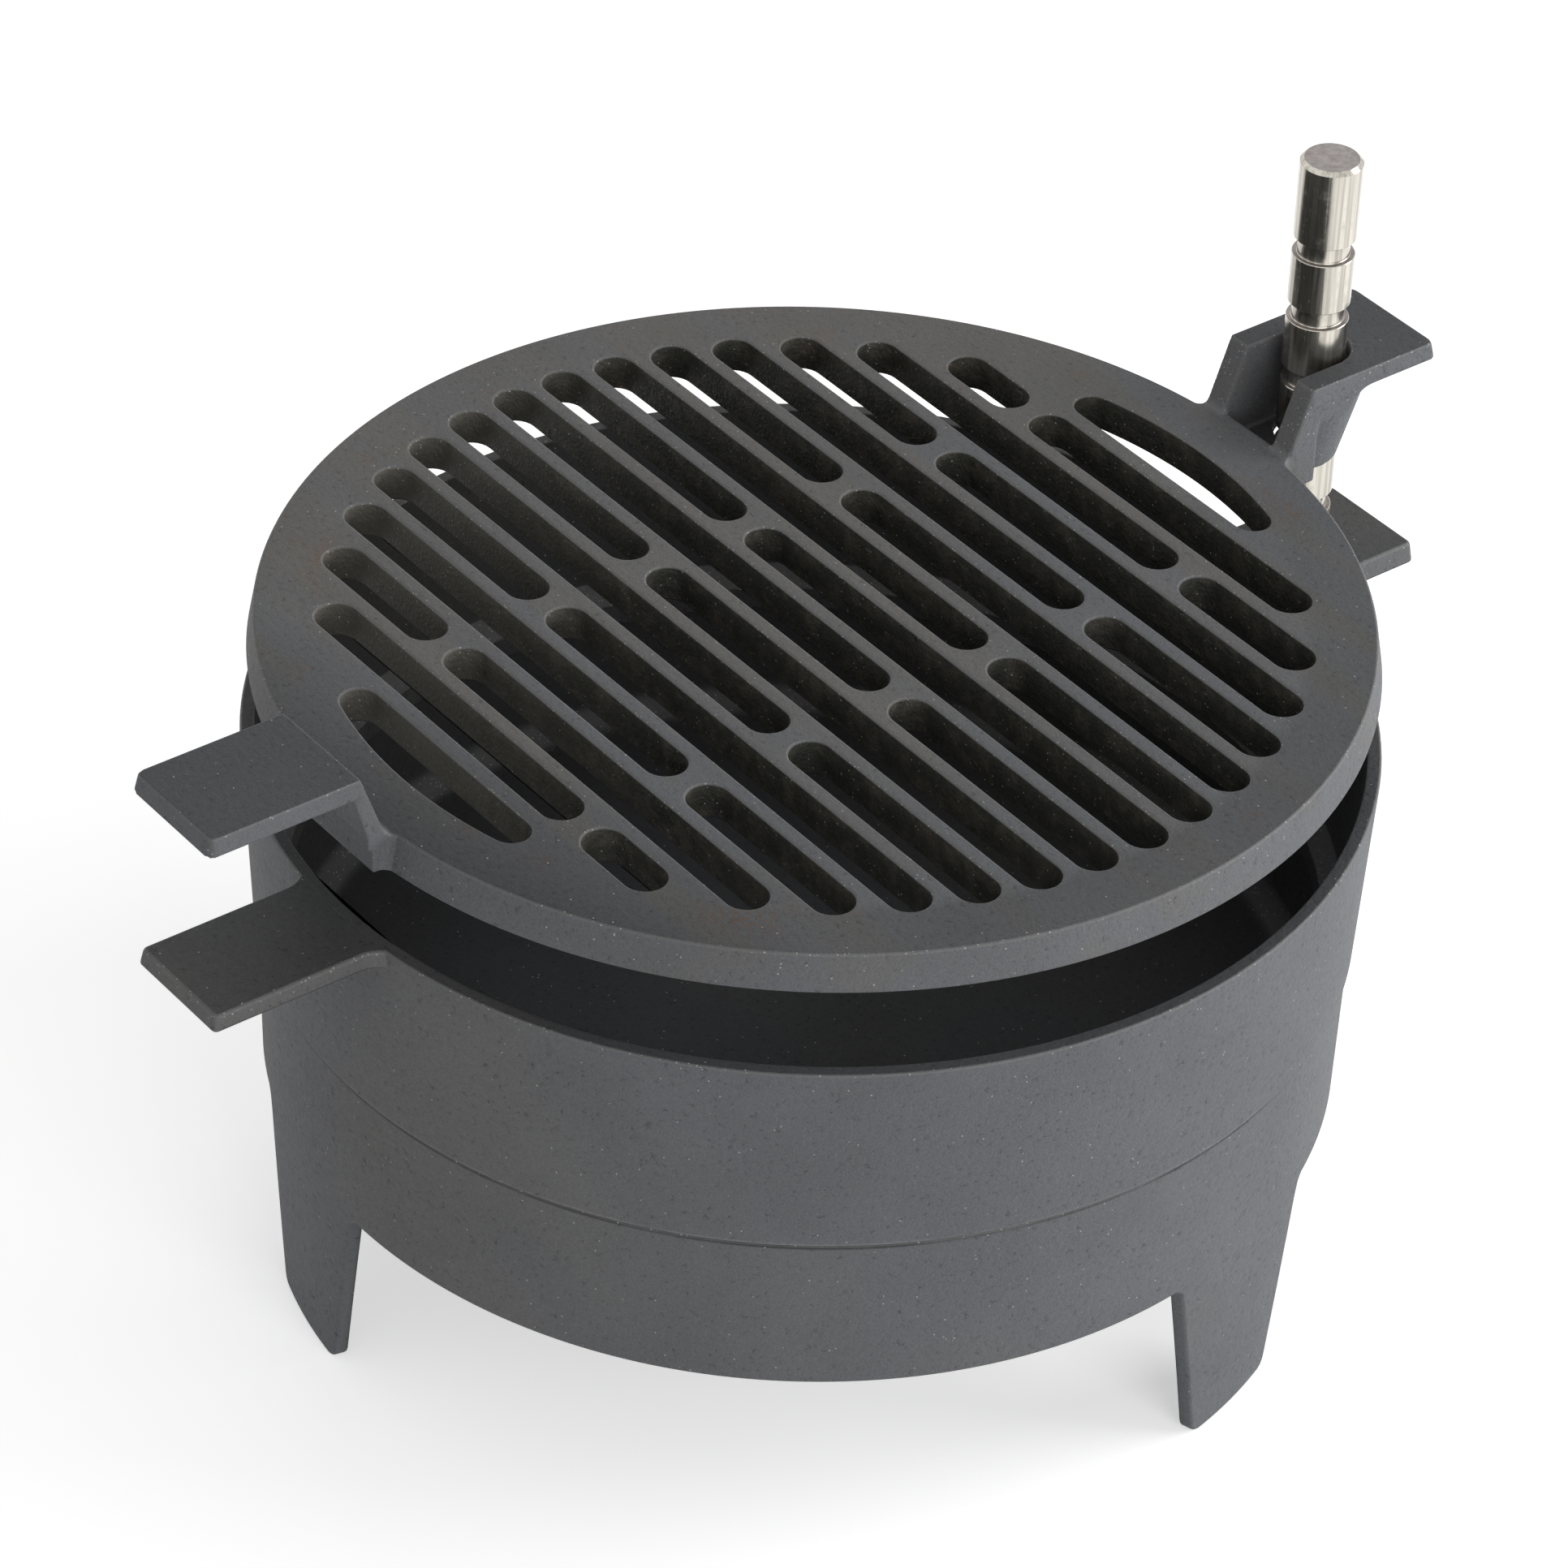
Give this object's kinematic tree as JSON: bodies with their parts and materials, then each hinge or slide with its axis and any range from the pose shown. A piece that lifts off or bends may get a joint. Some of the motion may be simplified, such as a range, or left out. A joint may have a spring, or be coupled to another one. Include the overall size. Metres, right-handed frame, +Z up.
{
  "type": "tabletop grill",
  "caption": "Round cast iron tabletop grill: three-legged stand, fire ring with two tabs, and a slotted grate hung on a grooved steel post.",
  "frame": {"origin": "on the table, on the grill's own vertical axis, midway between the ends of the front and rear handles", "axes": "+Z up, +Y towards the post and the rear bracket, -Y towards the front handle, +X to the right seen from the front handle"},
  "size_m": [0.349, 0.462, 0.321],
  "materials": {
    "stand_iron": "matt black stove coating on sand cast iron",
    "ring_iron": "matt black stove coating on sand cast iron",
    "grate_iron": "matt dark grey cast iron with a fine sand grain",
    "post_steel": "turned stainless steel, half bright",
    "fixing_steel": "plain stainless steel"
  },
  "bodies": {
    "stand": {"stand": "stand_iron"},
    "fire_ring": {"fire_ring": "ring_iron"},
    "post": {"post": "post_steel", "post_washer": "fixing_steel", "post_nut": "fixing_steel"},
    "grate": {"grate": "grate_iron"}
  },
  "joints": [
    {"name": "ring_lift", "type": "slide", "parent": "stand", "child": "fire_ring", "axis": [0, 0, 1], "range_m": [0, 0.1]},
    {"name": "grate_swing", "type": "hinge", "parent": "fire_ring", "child": "post", "pos_m": [0, 0.1968, 0.1755], "axis": [0, 0, 1], "continuous": true},
    {"name": "grate_lift", "type": "slide", "parent": "post", "child": "grate", "axis": [0, 0, 1], "range_m": [-0.0277, 0.105]}
  ]
}
